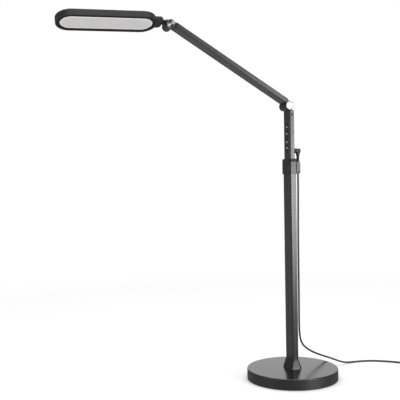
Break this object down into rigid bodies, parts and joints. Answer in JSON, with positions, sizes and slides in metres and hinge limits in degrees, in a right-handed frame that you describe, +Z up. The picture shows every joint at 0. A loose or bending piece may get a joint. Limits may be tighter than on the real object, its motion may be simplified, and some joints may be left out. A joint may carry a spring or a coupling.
{
  "type": "adjustable arm floor lamp",
  "caption": "Floor lamp with a round weighted base, a telescoping mast with a clamp collar, a hinged arm and a long flat tilting and swivelling light head.",
  "frame": {"origin": "centre of the base's underside, on the floor", "axes": "+Z up the mast; the arm and the head point to -X at rest; the hinge axes lie along Y"},
  "size_m": [1.0967, 0.26, 1.0175],
  "materials": {
    "painted_steel": "satin black powder coat",
    "cast_iron": "rough cast",
    "rubber": "matt",
    "satin_black_aluminium": "satin black anodised",
    "black_aluminium_cast": "satin black paint",
    "turned_aluminium": "turned, bright",
    "steel": "zinc plated",
    "black_plastic": "fine texture",
    "liner_plastic": "smooth nylon",
    "touch_panel": "semi-gloss",
    "pale_print": "printed",
    "circuit_board": "solder mask",
    "led": "phosphor",
    "opal": "opal acrylic",
    "clear_acrylic": "clear",
    "white_sheet": "matt white",
    "cord_pvc": "smooth PVC",
    "brass": "nickel-plated",
    "lead_wire": "PVC"
  },
  "bodies": {
    "stand": {"base_pad": "rubber", "base_weight": "cast_iron", "base_cover": "painted_steel", "base_bolt": "steel", "base_washer": "steel", "foot_socket": "black_aluminium_cast", "mast_base_block": "steel", "lower_mast": "satin_black_aluminium", "collar_body": "black_aluminium_cast", "collar_liner": "liner_plastic", "clamp_pad": "liner_plastic", "lever_pin": "steel", "collar_screws": "steel", "cord_drop": "cord_pvc", "cord_floor": "cord_pvc", "cord_coil": "cord_pvc", "cord_tail": "cord_pvc", "cord_tie": "black_plastic", "plug_body": "black_plastic", "plug_pins": "brass"},
    "lever": {"clamp_lever": "black_plastic"},
    "upper": {"upper_mast": "satin_black_aluminium", "mast_guide": "liner_plastic", "touch_panel": "touch_panel", "touch_marks": "pale_print", "touch_board": "circuit_board", "cord_gland": "black_plastic", "gland_nut": "black_plastic", "cord_boot": "rubber", "elbow_knuckle": "black_aluminium_cast", "knuckle_screws": "steel", "mast_lead": "lead_wire"},
    "arm": {"arm_tube": "satin_black_aluminium", "arm_lead": "lead_wire", "arm_lower_fork": "black_aluminium_cast", "arm_upper_fork": "black_aluminium_cast", "elbow_axle": "steel", "elbow_nut": "steel", "elbow_cap_near": "turned_aluminium", "elbow_cap_far": "black_aluminium_cast", "elbow_washers": "liner_plastic", "tilt_axle": "steel", "tilt_nut": "steel", "tilt_cap_near": "turned_aluminium", "tilt_cap_far": "black_aluminium_cast", "tilt_washers": "liner_plastic"},
    "neck": {"neck_knuckle": "black_aluminium_cast", "swivel_washer": "liner_plastic"},
    "head": {"neck_bracket": "black_aluminium_cast", "swivel_nut": "steel", "head_shell": "black_aluminium_cast", "head_bezel": "black_plastic", "reflector": "white_sheet", "led_board": "circuit_board", "led_chips": "led", "light_guide": "clear_acrylic", "diffuser": "opal", "head_screws": "steel"}
  },
  "joints": [
    {"name": "height_slide", "type": "slide", "parent": "stand", "child": "upper", "axis": [0, 0, 1], "range_m": [0, 0.4]},
    {"name": "clamp_lever", "type": "hinge", "parent": "stand", "child": "lever", "pos_m": [0.0225, -0.006, 0.5923], "axis": [0, 1, 0], "range_deg": [0, 100]},
    {"name": "elbow", "type": "hinge", "parent": "upper", "child": "arm", "pos_m": [-0.007, 0, 0.781], "axis": [0, 1, 0], "range_deg": [-75, 55]},
    {"name": "head_tilt", "type": "hinge", "parent": "arm", "child": "neck", "pos_m": [-0.35342, 0, 0.9908], "axis": [0, 1, 0], "range_deg": [-60, 75]},
    {"name": "head_swivel", "type": "hinge", "parent": "neck", "child": "head", "pos_m": [-0.35366, 0, 0.9993], "axis": [-0.9996, 0, -0.0279], "range_deg": [-110, 70]}
  ]
}
